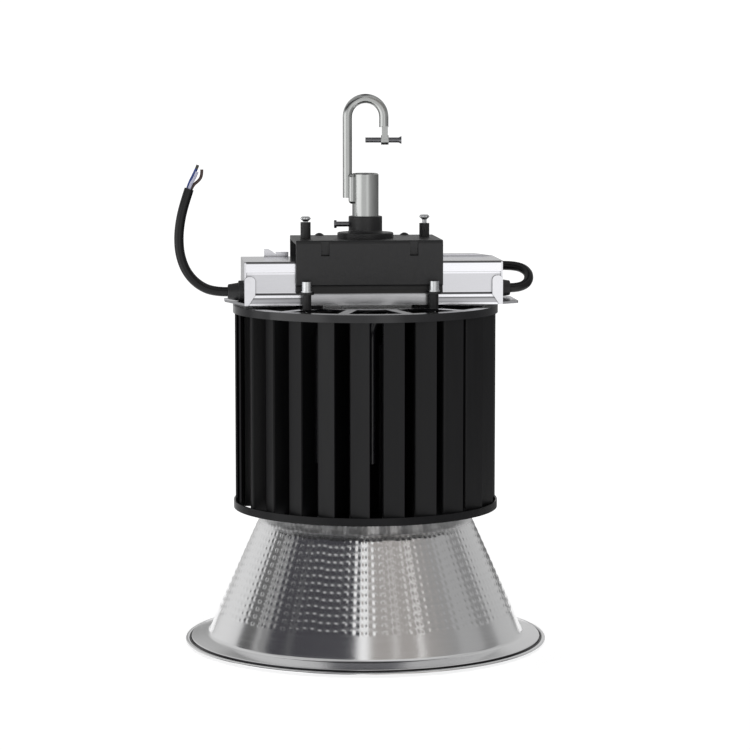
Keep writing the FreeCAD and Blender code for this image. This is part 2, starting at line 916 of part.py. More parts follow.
def make_hook():
    left_x = -stem_r - rod_d / 2
    arc_z = hook_top_z - rod_d / 2 - hook_r
    centre_x = left_x + hook_r
    right_x = centre_x + hook_r
    leg = rod(rod_d / 2, Vector(left_x, 0, hook_low_z), Vector(left_x, 0, arc_z))
    ring = Part.Face(Part.Wire([Part.makeCircle(rod_d / 2, Vector(left_x, 0, arc_z), UP)]))
    bow = ring.revolve(Vector(centre_x, 0, arc_z), Vector(0, 1, 0), 180)
    short_leg = rod(rod_d / 2, Vector(right_x, 0, tip_top_z - 2), Vector(right_x, 0, arc_z))
    tip_half = tip_width / 2
    tip_face = outline(
        [(-tip_half, tip_low_z), (tip_half, tip_low_z), (tip_half, tip_top_z), (-tip_half, tip_top_z)],
        endwise,
        {0: tip_toe_round, 1: tip_toe_round, 2: tip_top_round, 3: tip_top_round},
    )
    tip_x = right_x + rod_d / 2 - tip_inset - tip_thick
    tip_face.translate(Vector(tip_x, 0, 0))
    tip = tip_face.extrude(Vector(tip_thick, 0, 0))
    eye_x = tip_x + tip_thick / 2 - eye_length / 2
    eye = rod(eye_r, Vector(eye_x, 0, safety_z), Vector(eye_x + eye_length, 0, safety_z))
    body = joined([leg, bow, short_leg, tip, eye])
    welds = []
    for side in (-1, 1):
        spot = Vector(-stem_r, side * weld_spread, weld_low_z)
        welds.append(rod(weld_r, spot, spot + UP * weld_length))
        welds.append(Part.makeSphere(weld_r, spot))
        welds.append(Part.makeSphere(weld_r, spot + UP * weld_length))
    body = joined([body] + welds)
    stem_space = Part.makeCylinder(stem_r, stem_top_z, ORIGIN)
    hole = rod(safety_d / 2, Vector(0, 0, safety_z), Vector(2 * safety_end_x, 0, safety_z))
    return body.cut(stem_space).cut(hole)


def make_safety_bolt():
    head_start = safety_end_x - safety_head
    shank = rod(safety_d / 2, Vector(safety_start_x, 0, safety_z), Vector(head_start, 0, safety_z))
    head = Part.makeCone(
        safety_d / 2,
        safety_head_d / 2,
        safety_head,
        Vector(head_start, 0, safety_z),
        Vector(1, 0, 0),
    )
    return joined([shank, head])


# Leads, with their points chosen along the light as it stands
def input_lead_points():
    return [
        turned_spot(Vector(driver_left() - gland_length, left_gland_y, gland_z)),
        turned_spot(Vector(driver_left() - gland_length - 11.5, left_gland_y, gland_z)),
        Vector(-141.5, -20.6, 310.5),
        Vector(-151.8, -21.0, 321.5),
        Vector(-157.2, -21.0, 336.0),
        Vector(-158.3, -21.0, 351.0),
        Vector(-156.7, -21.0, 365.5),
        Vector(-153.3, -20.7, 379.5),
        Vector(-149.0, -20.5, 392.3),
    ]


def make_input_lead():
    return lead(input_lead_points(), lead_d, "input_lead")


# Cut wires that leave the end of the input lead side by side
def make_lead_wires():
    points = input_lead_points()
    end = points[-1]
    way = (end - points[-2]).normalize()
    right = Vector(way.z, 0, -way.x).normalize()
    back = way.cross(right) * -1
    wires = []
    for name, start, steps in [
        ("blue wire", right * -1.5 - back * 1.0, [(0.0, 5.0), (1.2, 12.0), (2.0, 21.5)]),
        ("brown wire", right * 1.5 - back * 1.0, [(0.0, 3.5), (4.2, 9.5), (5.0, 14.5), (3.4, 19.0)]),
        ("earth wire", back * 1.8, [(0.0, 5.0), (1.6, 10.0), (1.9, 16.0)]),
    ]:
        first = end + start
        route = [first]
        for across, ahead in steps:
            route.append(first + right * across + way * ahead)
        wires.append(lead(route, wire_d, name))
    return Part.makeCompound(wires)


def make_output_lead():
    start = turned_spot(Vector(driver_right() + gland_length, right_gland_y, gland_z))
    hole = turned_spot(Vector(grommet_x, grommet_y, plate_top_z))
    points = [
        start,
        turned_spot(Vector(driver_right() + gland_length + 8.0, right_gland_y, gland_z)),
        Vector(141.0, 30.5, 309.0),
        Vector(142.5, 38.5, 316.0),
        Vector(137.0, 46.5, 321.0),
        Vector(127.0, 51.8, 322.5),
        Vector(114.0, 54.5, 322.3),
        Vector(101.0, 56.5, 322.8),
        Vector(88.0, 59.0, 321.5),
        Vector(76.0, 62.0, 317.5),
        Vector(66.5, 64.6, 311.0),
        hole + UP * 9.5,
        hole + UP * lead_seat,
    ]
    return lead(points, lead_d, "output_lead")


def make_grommet():
    spot = turned_spot(Vector(grommet_x, grommet_y, 0))
    bore = lead_d / 2 + screw_clearance
    section = [
        (bore, plate_under_z),
        (grommet_neck_r, plate_under_z),
        (grommet_neck_r, plate_top_z),
        (grommet_r, plate_top_z),
        (grommet_r - grommet_draft, plate_top_z + grommet_height),
        (bore, plate_top_z + grommet_height),
    ]
    body = turned(outline(section, upright))
    body.translate(spot)
    return body


parts["reflector"] = make_reflector()
parts["lens_ring"] = make_lens_ring()
parts["ring_screws"] = make_ring_screws()
parts["lens_gasket"] = make_lens_gasket()
parts["lens"] = make_lens()
parts["led_board"] = make_led_board()
parts["bottom_plate"] = make_bottom_plate()
parts["top_plate"] = make_top_plate()
parts["core"] = make_core()
for index in range(fin_count):
    parts["fin_%02d" % (index + 1)] = make_fin(index)
for index, gap in enumerate(pipe_gaps):
    parts["heat_pipe_%d" % (index + 1)] = make_heat_pipe(gap)
parts["driver_case"] = make_driver_case()
parts["driver_end_left"] = make_driver_end(-1)
parts["driver_end_right"] = make_driver_end(1)
parts["gland_left"] = make_gland(-1)
parts["gland_right"] = make_gland(1)
parts["driver_pads"] = make_driver_pads()
parts["gear_box"] = make_gear_box()
parts["standoffs"] = make_standoffs()
parts["post_screws"] = make_post_screws()
parts["clamp_sleeves"] = make_clamp_sleeves()
parts["clamp_screws"] = make_clamp_screws()
parts["box_screws"] = make_box_screws()
parts["collar"] = make_collar()
parts["set_screw"] = make_set_screw()
parts["stem"] = make_stem()
parts["hook"] = make_hook()
parts["safety_bolt"] = make_safety_bolt()
parts["input_lead"] = make_input_lead()
parts["lead_wires"] = make_lead_wires()
parts["output_lead"] = make_output_lead()
parts["grommet"] = make_grommet()

os.makedirs("parts", exist_ok=True)
for name, shape in parts.items():
    shape.exportStep("parts/%s.step" % name)
    print(name, "valid", shape.isValid(), "solids", len(shape.Solids), "volume %.0f" % shape.Volume)
print(len(parts), "nodes")
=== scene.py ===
import math

import bpy
import numpy as np
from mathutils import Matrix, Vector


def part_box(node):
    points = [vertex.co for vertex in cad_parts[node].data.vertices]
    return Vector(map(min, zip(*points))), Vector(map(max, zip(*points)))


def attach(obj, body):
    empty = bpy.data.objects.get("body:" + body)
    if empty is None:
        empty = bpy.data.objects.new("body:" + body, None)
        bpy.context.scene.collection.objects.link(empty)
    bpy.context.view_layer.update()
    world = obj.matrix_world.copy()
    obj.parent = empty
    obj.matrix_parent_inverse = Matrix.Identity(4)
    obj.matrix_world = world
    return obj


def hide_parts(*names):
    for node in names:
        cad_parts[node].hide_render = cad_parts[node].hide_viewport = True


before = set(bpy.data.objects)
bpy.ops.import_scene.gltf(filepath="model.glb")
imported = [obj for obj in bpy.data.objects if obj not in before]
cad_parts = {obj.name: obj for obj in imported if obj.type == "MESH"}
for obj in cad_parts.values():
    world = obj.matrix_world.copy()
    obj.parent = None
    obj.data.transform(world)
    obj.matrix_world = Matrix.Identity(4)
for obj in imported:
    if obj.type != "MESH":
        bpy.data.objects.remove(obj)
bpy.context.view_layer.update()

# Camera: a long lens a little above the light, looking down at it by about six degrees. The picture is
# square, so the lens length goes with the sensor's width alone.
lens_length = 131.76
sensor_width = 36.0
camera_place = (0.00824, -2.3465, 0.4890)
looking_down = 6.2577
camera_data = bpy.data.cameras.new("camera")
camera_data.lens = lens_length
camera_data.sensor_width = sensor_width
camera = bpy.data.objects.new("camera", camera_data)
camera.location = camera_place
camera.rotation_euler = (math.radians(90 - looking_down), 0, 0)
bpy.context.scene.collection.objects.link(camera)
bpy.context.scene.camera = camera

# Leads: round cable with a satin black rubber sheath, each held in a gland. One comes out of the left gland
# and ends in three cut wires. The other loops out of the right gland, back behind the driver and down
# through a grommet.
lead_diameter = 0.0081
input_route = [
    (-0.116972, -0.018782, 0.3050),
    (-0.128424, -0.019834, 0.3050),
    (-0.1415, -0.0206, 0.3105),
    (-0.1518, -0.0210, 0.3215),
    (-0.1572, -0.0210, 0.3360),
    (-0.1583, -0.0210, 0.3510),
    (-0.1567, -0.0210, 0.3655),
    (-0.1533, -0.0207, 0.3795),
    (-0.1490, -0.0205, 0.3923),
]
output_route = [
    (0.124987, 0.025544, 0.3050),
    (0.132953, 0.026276, 0.3050),
    (0.1410, 0.0305, 0.3090),
    (0.1425, 0.0385, 0.3160),
    (0.1370, 0.0465, 0.3210),
    (0.1270, 0.0518, 0.3225),
    (0.1140, 0.0545, 0.3223),
    (0.1010, 0.0565, 0.3228),
    (0.0880, 0.0590, 0.3215),
    (0.0760, 0.0620, 0.3175),
    (0.0665, 0.0646, 0.3110),
    (0.061772, 0.065427, 0.3027),
    (0.061772, 0.065427, 0.2942),
]


def finish(name, colour, metallic, roughness, grain, swing=0.0, shade=0.0, relief=0.0, seam=0.0):
    """Material with a noise, stretched by grain (cycles per metre along X, Y and Z). From the noise's usual
    low to its high, the roughness goes from swing below to swing above its value and the colour from darker
    by the share shade to full, and the surface rises by relief metres times the noise. As painted shade in
    corners and gaps that are narrower than seam metres, the colour falls to a fifth of itself."""
    noise_low, noise_high = 0.3, 0.7
    smoothest = 0.02
    shaded_open, unshaded_open = 0.35, 0.85
    shaded_share = 0.2
    material = bpy.data.materials.new(name)
    material.use_nodes = True
    nodes, links = material.node_tree.nodes, material.node_tree.links
    shader = nodes["Principled BSDF"]
    shader.inputs["Metallic"].default_value = metallic
    shader.inputs["Roughness"].default_value = roughness
    shader.inputs["Base Color"].default_value = (*colour, 1)
    place = nodes.new("ShaderNodeTexCoord")
    stretch = nodes.new("ShaderNodeMapping")
    stretch.inputs["Scale"].default_value = grain
    links.new(place.outputs["Object"], stretch.inputs["Vector"])
    noise = nodes.new("ShaderNodeTexNoise")
    noise.inputs["Scale"].default_value = 1.0
    noise.inputs["Detail"].default_value = 5.0
    noise.inputs["Roughness"].default_value = 0.6
    links.new(stretch.outputs["Vector"], noise.inputs["Vector"])
    if swing:
        spread = nodes.new("ShaderNodeMapRange")
        spread.inputs["From Min"].default_value = noise_low
        spread.inputs["From Max"].default_value = noise_high
        spread.inputs["To Min"].default_value = max(roughness - swing, smoothest)
        spread.inputs["To Max"].default_value = roughness + swing
        links.new(noise.outputs["Fac"], spread.inputs["Value"])
        links.new(spread.outputs["Result"], shader.inputs["Roughness"])
    if shade:
        shading = nodes.new("ShaderNodeValToRGB")
        darkest, lightest = shading.color_ramp.elements
        darkest.position, lightest.position = noise_low, noise_high
        darkest.color = (*[part * (1 - shade) for part in colour], 1)
        lightest.color = (*colour, 1)
        links.new(noise.outputs["Fac"], shading.inputs["Fac"])
        links.new(shading.outputs["Color"], shader.inputs["Base Color"])
    # Painted shade: where little is open round a point, in narrow corners and gaps, the colour is mixed
    # down towards a fifth of itself.
    if seam:
        open_share = nodes.new("ShaderNodeAmbientOcclusion")
        open_share.samples = 8
        open_share.inputs["Distance"].default_value = seam
        unshaded = nodes.new("ShaderNodeMapRange")
        unshaded.inputs["From Min"].default_value = shaded_open
        unshaded.inputs["From Max"].default_value = unshaded_open
        links.new(open_share.outputs["AO"], unshaded.inputs["Value"])
        painted_shade = nodes.new("ShaderNodeMix")
        painted_shade.data_type = "RGBA"
        shaded, plain = [s for s in painted_shade.inputs if s.type == "RGBA"]
        shaded.default_value = (*[part * shaded_share for part in colour], 1)
        plain.default_value = (*colour, 1)
        if shade:
            links.new(shading.outputs["Color"], plain)
        links.new(unshaded.outputs["Result"], painted_shade.inputs["Factor"])
        links.new([s for s in painted_shade.outputs if s.type == "RGBA"][0], shader.inputs["Base Color"])
    if relief:
        bump = nodes.new("ShaderNodeBump")
        bump.inputs["Strength"].default_value = 1.0
        bump.inputs["Distance"].default_value = relief
        links.new(noise.outputs["Fac"], bump.inputs["Height"])
        links.new(bump.outputs["Normal"], shader.inputs["Normal"])
    return material


def steady(material, name, value):
    """Sets one of a finish's shader inputs to a constant value."""
    material.node_tree.nodes["Principled BSDF"].inputs[name].default_value = value


def cable(name, route, diameter, material):
    """Round tube along one smooth line: a spline of order three that starts at the route's first point,
    ends at its last and is pulled towards those between."""
    curve = bpy.data.curves.new(name, "CURVE")
    curve.dimensions = "3D"
    curve.bevel_depth = diameter / 2
    curve.bevel_resolution = 6
    curve.use_fill_caps = True
    curve.resolution_u = 12
    line = curve.splines.new("NURBS")
    line.points.add(len(route) - 1)
    line.points.foreach_set("co", np.array([(*point, 1.0) for point in route]).ravel())
    line.order_u = 3
    line.use_endpoint_u = True
    curve.materials.append(material)
    piece = bpy.data.objects.new(name, curve)
    bpy.context.scene.collection.objects.link(piece)
    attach(piece, "root")
    return piece


sheath_finish = finish("lead_sheath", (0.008, 0.008, 0.009), 0.0, 0.22, (300, 300, 300),
                       swing=0.05, shade=0.3, relief=0.00008)
steady(sheath_finish, "Specular IOR Level", 0.32)
input_lead = cable("input_lead_cable", input_route, lead_diameter, sheath_finish)
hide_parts("input_lead")
output_lead = cable("output_lead_cable", output_route, lead_diameter, sheath_finish)
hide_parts("output_lead")

# Cut wires of the input lead: blue, brown and earth, each insulated stranded copper, 16 to 22 mm long,
# fanned out a little where the sheath was cut back. The blue one ends in a short dark bare tip.
wire_diameter = 0.0026
wire_seat = 0.004
lead_end = np.array(input_route[-1])
lead_way = lead_end - np.array(input_route[-2])
lead_way = lead_way / np.linalg.norm(lead_way)
lead_right = np.array([lead_way[2], 0, -lead_way[0]])
lead_right = lead_right / np.linalg.norm(lead_right)
lead_back = -np.cross(lead_way, lead_right)
wire_grain = (900, 900, 900)
# Each wire starts beside the lead's middle, by its first pair to the lead's right and back, and goes on by
# steps to the right and along the lead, all in millimetres.
for wire_name, colour, start, steps, tip in [
    ("wire_blue", (0.035, 0.075, 0.30), (-1.5, -1.0), [(0.0, 5.0), (1.2, 12.0), (1.9, 18.0)], (2.1, 21.5)),
    ("wire_brown", (0.075, 0.045, 0.04), (1.5, -1.0),
     [(0.0, 3.5), (4.2, 9.5), (5.0, 14.5), (3.4, 19.0)], None),
    ("wire_earth", (0.62, 0.63, 0.80), (0.0, 1.8), [(0.0, 5.0), (1.6, 10.0), (1.9, 16.0)], None),
]:
    first = lead_end + (lead_right * start[0] + lead_back * start[1]) / 1000
    wire_route = [first - lead_way * wire_seat]
    wire_route += [first + (lead_right * across + lead_way * ahead) / 1000 for across, ahead in steps]
    insulation = finish(wire_name, colour, 0.0, 0.35, wire_grain, swing=0.05, shade=0.2)
    wire = cable(wire_name, wire_route, wire_diameter, insulation)
    if tip:
        tip_route = [wire_route[-1], first + (lead_right * tip[0] + lead_way * tip[1]) / 1000]
        bare_finish = finish("bare_end", (0.07, 0.07, 0.06), 0.0, 0.4, wire_grain, shade=0.3)
        bare_end = cable(wire_name + "_end", tip_route, wire_diameter, bare_finish)
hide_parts("lead_wires")

# Reflector: aluminium sheet spun over a former, with rows of small round dimples pressed outwards round
# its cone, a plain band, a flared flange, a dark seam and a rolled bead. The bezel clamps its lip under the
# drum.
rim_r = 0.1560
rim_in = 0.1519
bead_height = 0.0052
bead_round = 0.0017
sheet = 0.0012
neck_r = 0.0869
lip_r = 0.0779
neck_z = 0.1186
neck_round = 0.0016
flare_r = 0.1358
flare_z = 0.0096
flare_round = 0.0045
flange_r = 0.1507
flange_z = 0.0066
flange_round = 0.0010
seam_z = 0.0034
dimple_columns = 116
dimple_rows = 15
first_row_z = 0.1140
last_row_z = 0.0315
dimple_rise = 0.00026
dimple_reach = 0.42
tool_columns = 2.5
tool_shift = 0.0010
column_steps = 5
row_steps = 6
rows_before = 0.6
rows_after = 0.25
bend_gap = 0.0001
plain_steps = 6


def fillet(before, corner, after, radius, steps):
    """Points, evenly spaced by angle, on the arc of that radius that touches both runs of a corner. Its
    centre is on the corner's middle line, the radius over the sine of half the corner's angle away, and it
    touches each run at the radius over the tangent of that half."""
    before, corner, after = (np.array(point, float) for point in (before, corner, after))
    back = (before - corner) / np.linalg.norm(before - corner)
    ahead = (after - corner) / np.linalg.norm(after - corner)
    half = math.acos(back @ ahead) / 2
    centre = corner + (back + ahead) / np.linalg.norm(back + ahead) * radius / math.sin(half)
    start = corner + back * radius / math.tan(half) - centre
    end = corner + ahead * radius / math.tan(half) - centre
    first = math.atan2(start[1], start[0])
    swing = (math.atan2(end[1], end[0]) - first + math.pi) % (2 * math.pi) - math.pi
    angle = first + swing * np.linspace(0, 1, steps)
    return centre + radius * np.stack([np.cos(angle), np.sin(angle)], -1)


def inset(points, distance):
    """The same run of straight lines moved sideways, to its right, by distance. Each point moves by the
    distance times the sum of its two lines' normals over one more than the normals' product."""
    along = np.diff(points, axis=0)
    normal = np.stack([along[:, 1], -along[:, 0]], -1) / np.linalg.norm(along, axis=1)[:, None]
    before = np.concatenate([normal[:1], normal])
    after = np.concatenate([normal, normal[-1:]])
    return points + (before + after) * distance / (1 + (before * after).sum(1))[:, None]


def solid(name, points, material):
    """Closed smooth mesh from a grid of points whose rows and columns both run round and meet again: each
    four neighbours make one face."""
    rows, columns = points.shape[:2]
    row, column = np.meshgrid(np.arange(rows), np.arange(columns), indexing="ij")
    below, beside = (row + 1) % rows, (column + 1) % columns
    corners = [row * columns + column, below * columns + column]
    corners += [below * columns + beside, row * columns + beside]
    mesh = bpy.data.meshes.new(name)
    mesh.from_pydata(points.reshape(-1, 3), [], np.stack(corners, -1).reshape(-1, 4))
    mesh.polygons.foreach_set("use_smooth", np.full(len(mesh.polygons), True))
    mesh.materials.append(material)
    mesh.update()
    piece = bpy.data.objects.new(name, mesh)
    bpy.context.scene.collection.objects.link(piece)
    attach(piece, "root")
    return piece


skin = np.array([
    (lip_r, neck_z), (neck_r, neck_z), (flare_r, flare_z), (flange_r, flange_z), (flange_r, seam_z),
    (rim_in, seam_z),
])
lining = inset(skin, sheet)
neck_bend = fillet(*skin[:3], neck_round + sheet, steps=5)
flare_bend = fillet(*skin[1:4], flare_round, steps=8)
flange_bend = fillet(*skin[2:5], flange_round, steps=5)
cone_length = np.linalg.norm(flare_bend[0] - neck_bend[-1])
cone_way = (flare_bend[0] - neck_bend[-1]) / cone_length
cone_out = np.array([-cone_way[1], cone_way[0]])
row_pitch = (first_row_z - last_row_z) / -cone_way[1] / (dimple_rows - 1)
first_row = (neck_bend[-1][1] - first_row_z) / -cone_way[1]
dimpled_start = max(first_row - row_pitch * rows_before, bend_gap)
dimpled_end = first_row + row_pitch * (dimple_rows - rows_after)
dimpled = np.linspace(dimpled_start, dimpled_end, int(row_steps * (dimple_rows + 0.5)) + 1)
plain = np.linspace(dimpled_end, cone_length, plain_steps)[1:-1]
along_cone = np.concatenate([dimpled, plain])
cone_line = neck_bend[-1] + along_cone[:, None] * cone_way
bead_corners = np.array([(rim_in, bead_height), (rim_r, bead_height), (rim_r, 0), (rim_in, 0)])
bead_runs = zip(np.roll(bead_corners, 1, axis=0), bead_corners, np.roll(bead_corners, -1, axis=0))
bead_bends = [fillet(*run, bead_round, steps=6) for run in bead_runs]
under = [
    fillet(lining[3], lining[2], lining[1], flare_round + sheet, steps=6),
    fillet(lining[2], lining[1], lining[0], neck_round, steps=4),
]
profile = np.concatenate([skin[:1], neck_bend, cone_line, flare_bend, flange_bend, skin[4:], *bead_bends,
                          lining[:2:-1], *under, lining[:1]])
cone_start = 1 + len(neck_bend)
column_count = dimple_columns * column_steps
turn = np.arange(column_count) * 2 * np.pi / column_count
# Each dimple is a round dome: its rise times the square of one less its squared distance from the middle.
# The columns are pressed two or three at a time, and every other group sits a little higher.
column_share = np.arange(column_count) / column_steps
column = np.floor(column_share)
raised = np.floor(column / tool_columns) % 2
row_share = (along_cone[:, None] - first_row + tool_shift * raised) / row_pitch
inside_rows = (row_share > -0.5) & (row_share < dimple_rows - 0.5)
off_row = row_share - np.round(row_share)
off_column = column_share - column - 0.5 + 0.5 / column_steps
off_centre = np.hypot(off_row, off_column) / dimple_reach
dome = dimple_rise * np.clip(1 - off_centre ** 2, 0, 1) ** 2 * inside_rows
radii = np.repeat(profile[:, :1], column_count, axis=1)
heights = np.repeat(profile[:, 1:], column_count, axis=1)
radii[cone_start:cone_start + len(along_cone)] += dome * cone_out[0]
heights[cone_start:cone_start + len(along_cone)] += dome * cone_out[1]
spun_finish = finish("spun_aluminium", (0.90, 0.90, 0.905), 1.0, 0.16, (25, 25, 2500),
                     swing=0.03, shade=0.05, relief=0.00002)


def ring_mask(material, start, end, top, fade):
    """Share of a ring about the light's axis, from one radius to another and below a height. It is the
    product of three shares, each of which falls evenly to none over the distance fade past its edge."""
    nodes, links = material.node_tree.nodes, material.node_tree.links
    place = nodes.new("ShaderNodeTexCoord")
    flat = nodes.new("ShaderNodeVectorMath")
    flat.operation = "MULTIPLY"
    flat.inputs[1].default_value = (1, 1, 0)
    links.new(place.outputs["Object"], flat.inputs[0])
    radius = nodes.new("ShaderNodeVectorMath")
    radius.operation = "LENGTH"
    links.new(flat.outputs["Vector"], radius.inputs[0])
    split = nodes.new("ShaderNodeSeparateXYZ")
    links.new(place.outputs["Object"], split.inputs["Vector"])
    share = None
    for value, low, high in [
        (radius.outputs["Value"], start - fade, start),
        (radius.outputs["Value"], end + fade, end),
        (split.outputs["Z"], top + fade, top),
    ]:
        edge = nodes.new("ShaderNodeMapRange")
        edge.inputs["From Min"].default_value = low
        edge.inputs["From Max"].default_value = high
        links.new(value, edge.inputs["Value"])
        if share is not None:
            both = nodes.new("ShaderNodeMath")
            both.operation = "MULTIPLY"
            links.new(share, both.inputs[0])
            links.new(edge.outputs["Result"], both.inputs[1])
            edge = both
        share = edge.outputs[0]
    return share


def tint(material, share, colour):
    """Mixes a finish's colour with another one: the share of the other, and the rest of its own."""
    nodes, links = material.node_tree.nodes, material.node_tree.links
    socket = nodes["Principled BSDF"].inputs["Base Color"]
    mix = nodes.new("ShaderNodeMix")
    mix.data_type = "RGBA"
    before, after = [s for s in mix.inputs if s.type == "RGBA"]
    before.default_value = socket.default_value
    if socket.links:
        links.new(socket.links[0].from_socket, before)
    after.default_value = (*colour, 1)
    links.new(share, mix.inputs["Factor"])
    links.new([s for s in mix.outputs if s.type == "RGBA"][0], socket)


def duller(material, low, high, extra):
    """Adds roughness that grows evenly with the height, from none at low to extra at high and above."""
    nodes, links = material.node_tree.nodes, material.node_tree.links
    place = nodes.new("ShaderNodeTexCoord")
    split = nodes.new("ShaderNodeSeparateXYZ")
    links.new(place.outputs["Object"], split.inputs["Vector"])
    growth = nodes.new("ShaderNodeMapRange")
    growth.inputs["From Min"].default_value = low
    growth.inputs["From Max"].default_value = high
    growth.inputs["To Max"].default_value = extra
    links.new(split.outputs["Z"], growth.inputs["Value"])
    total = nodes.new("ShaderNodeMath")
    socket = nodes["Principled BSDF"].inputs["Roughness"]
    links.new(socket.links[0].from_socket, total.inputs[0])
    links.new(growth.outputs["Result"], total.inputs[1])
    links.new(total.outputs["Value"], socket)


# The neck is worked over the former again and again, so it is duller than the cone.
dull_low = 0.1030
dull_high = 0.1105
duller(spun_finish, dull_low, dull_high, extra=0.20)
# The seam beside the bead is dark all round: painted shade for its narrow crevice, and polish and dirt
# that stay in it.
seam_in = 0.1504
seam_out = 0.1524
seam_top = 0.0060
seam_fade = 0.0004
seam_shade_and_dirt = ring_mask(spun_finish, seam_in, seam_out, seam_top, seam_fade)
tint(spun_finish, seam_shade_and_dirt, (0.03, 0.03, 0.032))
shell_points = np.stack([radii * np.sin(turn), -radii * np.cos(turn), heights], -1)
reflector = solid("reflector_shell", shell_points, spun_finish)
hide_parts("reflector")


# Light engine, seen from below: a satin bezel with six zinc screws, a rubber seal, a clear glass and the
# white board with its round yellow light source.
def dress(nodes, material):
    """Puts a finish into every material slot of the named CAD nodes."""
    for node in nodes:
        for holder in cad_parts[node].material_slots:
            holder.material = material


bezel_finish = finish("bezel_aluminium", (0.62, 0.63, 0.65), 1.0, 0.32, (60, 60, 1200),
                      swing=0.06, shade=0.1)
dress(["lens_ring"], bezel_finish)
zinc_finish = finish("bright_zinc", (0.72, 0.73, 0.74), 1.0, 0.24, (500, 500, 500), swing=0.08, shade=0.2)
dress(["ring_screws", "post_screws"], zinc_finish)
rubber_finish = finish("seal_rubber", (0.03, 0.03, 0.03), 0.0, 0.65, (800, 800, 800),
                       swing=0.1, relief=0.0001)
dress(["lens_gasket", "driver_pads", "grommet"], rubber_finish)
glass_finish = finish("cover_glass", (0.95, 0.98, 0.97), 0.0, 0.03, (40, 40, 40), swing=0.01)
steady(glass_finish, "Transmission Weight", 1.0)
dress(["lens"], glass_finish)
# The light source is drawn on the board as a round yellow spot.
chip_r = 0.0185
chip_fade = 0.0003
any_height = 1.0
board_finish = finish("board", (0.82, 0.82, 0.80), 0.0, 0.4, (300, 300, 300), swing=0.05, shade=0.06)
chip_ring = ring_mask(board_finish, 0.0, chip_r, any_height, chip_fade)
tint(board_finish, chip_ring, (0.80, 0.62, 0.10))
dress(["led_board"], board_finish)

# Drum: two ring plates, 24 folded fins, the core they are pressed into and six heat pipes. All of it is
# dipped in a thin black coat. On the upper plate the coat is glossy, so it mirrors a little at low angles.
fin_count = 24
pipe_count = 6
plate_finish = finish("plate_paint", (0.012, 0.012, 0.014), 0.0, 0.11, (180, 180, 180),
                      swing=0.02, shade=0.2, relief=0.00001)
dress(["top_plate"], plate_finish)
lower_plate_finish = finish("lower_plate_paint", (0.010, 0.010, 0.011), 0.0, 0.25, (180, 180, 180),
                            swing=0.02, shade=0.2, relief=0.00001)
steady(lower_plate_finish, "Specular IOR Level", 0.15)
dress(["bottom_plate"], lower_plate_finish)
fin_finish = finish("fin_paint", (0.007, 0.007, 0.008), 0.0, 0.42, (160, 160, 14),
                    swing=0.06, shade=0.25, relief=0.00010)
steady(fin_finish, "Specular IOR Level", 0.24)
dress(["fin_%02d" % (index + 1) for index in range(fin_count)], fin_finish)
core_finish = finish("core_paint", (0.012, 0.012, 0.014), 0.0, 0.4, (200, 200, 30), swing=0.06, shade=0.2)
dress(["core"], core_finish)
pipe_finish = finish("coated_copper", (0.008, 0.008, 0.010), 0.0, 0.3, (120, 120, 30),
                     swing=0.05, shade=0.1)
dress(["heat_pipe_%d" % (index + 1) for index in range(pipe_count)], pipe_finish)

# Driver: an extruded, satin anodised aluminium case on rubber pads, with a pressed end plate with a slotted
# ear at each end. A moulded plastic gland in each end plate lets a lead out.
# Its seam distance paints shade into the case's narrow corners and gaps.
case_finish = finish("driver_aluminium", (0.92, 0.92, 0.93), 1.0, 0.18, (8, 500, 500),
                     swing=0.04, shade=0.05, seam=0.003)


def painted_light_bands(material, low, high, steps):
    """Paints light and shade as bands by height: multiplies a finish's colour by a shade, a little bluer
    than grey, that goes with the height from low to high. Each step is a height in millimetres above low
    and the shade there, and between two steps it changes evenly."""
    bluer = 1.03
    nodes, links = material.node_tree.nodes, material.node_tree.links
    place = nodes.new("ShaderNodeTexCoord")
    split = nodes.new("ShaderNodeSeparateXYZ")
    links.new(place.outputs["Object"], split.inputs["Vector"])
    share = nodes.new("ShaderNodeMapRange")
    share.inputs["From Min"].default_value = low
    share.inputs["From Max"].default_value = high
    links.new(split.outputs["Z"], share.inputs["Value"])
    ramp = nodes.new("ShaderNodeValToRGB")
    elements = ramp.color_ramp.elements
    while len(elements) < len(steps):
        elements.new(0.5)
    for element, (up, shade) in zip(elements, steps):
        element.position = up / 1000 / (high - low)
        element.color = (shade, shade, shade * bluer, 1)
    links.new(share.outputs["Result"], ramp.inputs["Fac"])
    both = nodes.new("ShaderNodeMix")
    both.data_type = "RGBA"
    both.blend_type = "MULTIPLY"
    both.inputs["Factor"].default_value = 1.0
    first, second = [s for s in both.inputs if s.type == "RGBA"]
    socket = nodes["Principled BSDF"].inputs["Base Color"]
    links.new(socket.links[0].from_socket, first)
    links.new(ramp.outputs["Color"], second)
    links.new([s for s in both.outputs if s.type == "RGBA"][0], socket)


# The case has a foot with a drawn rib, a narrow groove, a duller flat panel and a bright upper band, all
# painted as bands of light and shade: white lines are painted highlights on the rib and edges, dark lines
# are painted shade in the groove and under the edges, and the greyer panel and the bright band are
# painted reflections.
# Between the posts, the bracket's shadow is painted on the foot in grey.
case_low, case_high = (corner[2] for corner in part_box("driver_case"))
painted_light_bands(case_finish, case_low, case_high, [
    (1.4, 1.0), (2.0, 0.42), (3.2, 0.50), (4.6, 0.45), (5.3, 0.40), (5.6, 0.18), (6.3, 0.18),
    (6.7, 1.0), (8.4, 1.0), (8.9, 0.14), (10.3, 0.14), (10.7, 0.85), (11.3, 0.70), (26.0, 0.70),
    (26.6, 1.0), (35.0, 1.0), (35.4, 0.16), (36.6, 0.16), (36.9, 0.80),
])
painted_shadow_r = 0.064
painted_shadow_height = 0.0088
painted_shadow_fade = 0.0012
painted_bracket_shadow = ring_mask(case_finish, 0.0, painted_shadow_r, case_low + painted_shadow_height, painted_shadow_fade)
